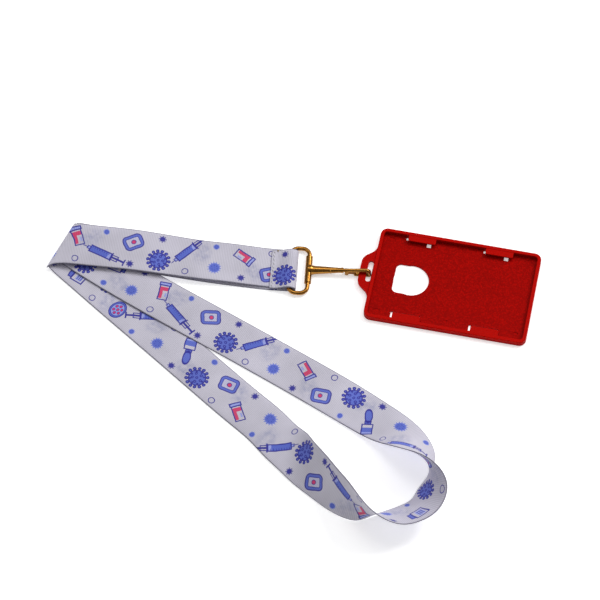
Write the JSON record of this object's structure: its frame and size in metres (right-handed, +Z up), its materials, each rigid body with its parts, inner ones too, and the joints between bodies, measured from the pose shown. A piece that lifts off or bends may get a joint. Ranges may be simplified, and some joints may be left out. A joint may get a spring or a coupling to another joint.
{
  "type": "lanyard badge holder",
  "caption": "Printed 25 mm neck ribbon sewn round a wire ring, with a brass swivel hook clip carrying a rigid open-faced card holder.",
  "frame": {"origin": "centre of the card holder's flat back face, which lies on the resting plane", "axes": "+X along the card holder away from its tab and the clip, +Z up out of the open card pocket, +Y across the holder"},
  "size_m": [0.2684, 0.1889, 0.0263],
  "materials": {
    "red_plastic": "moulded polypropylene, fine spark texture on the floor",
    "printed_ribbon": "ribbed polyester, printed on both faces",
    "white_thread": "polyester sewing thread",
    "ochre_thread": "thread end",
    "gold_plate": "polished brass plating",
    "spring_steel": "spring wire"
  },
  "bodies": {
    "strap": {"lanyard_ribbon": "printed_ribbon", "seam_stitches": "white_thread", "seam_end_knot": "ochre_thread"},
    "ring": {"ring_loop": "gold_plate"},
    "barrel": {"barrel_head": "gold_plate", "stem_pin": "gold_plate"},
    "hook": {"swivel_hook": "gold_plate", "gate_pin": "gold_plate", "gate_spring": "spring_steel"},
    "gate": {"gate": "gold_plate"},
    "holder": {"card_holder": "red_plastic"}
  },
  "joints": [
    {"name": "ring_in_strap", "type": "hinge", "parent": "strap", "child": "ring", "pos_m": [-0.09061, -0.00666, 0.0022], "axis": [0.1305, -0.9914, 0], "range_deg": [-15, 70]},
    {"name": "barrel_on_ring", "type": "hinge", "parent": "ring", "child": "barrel", "pos_m": [-0.0803, -0.0053, 0.0022], "axis": [0.1305, -0.9914, 0], "range_deg": [-80, 50]},
    {"name": "hook_swivel", "type": "hinge", "parent": "barrel", "child": "hook", "pos_m": [-0.0803, -0.0053, 0.0022], "axis": [0.9875, 0.13, 0.0889], "continuous": true},
    {"name": "gate_hinge", "type": "hinge", "parent": "hook", "child": "gate", "pos_m": [-0.05928, -0.00253, 0.0021], "axis": [0.1305, -0.9914, 0], "range_deg": [0, 9], "stiffness_Nm_per_rad": 0.004, "springref_deg": -11.46},
    {"name": "holder_swing", "type": "hinge", "parent": "hook", "child": "holder", "pos_m": [-0.04689, -0.0009, 0.0025], "axis": [0, 0, 1], "range_deg": [-20, 28]}
  ]
}
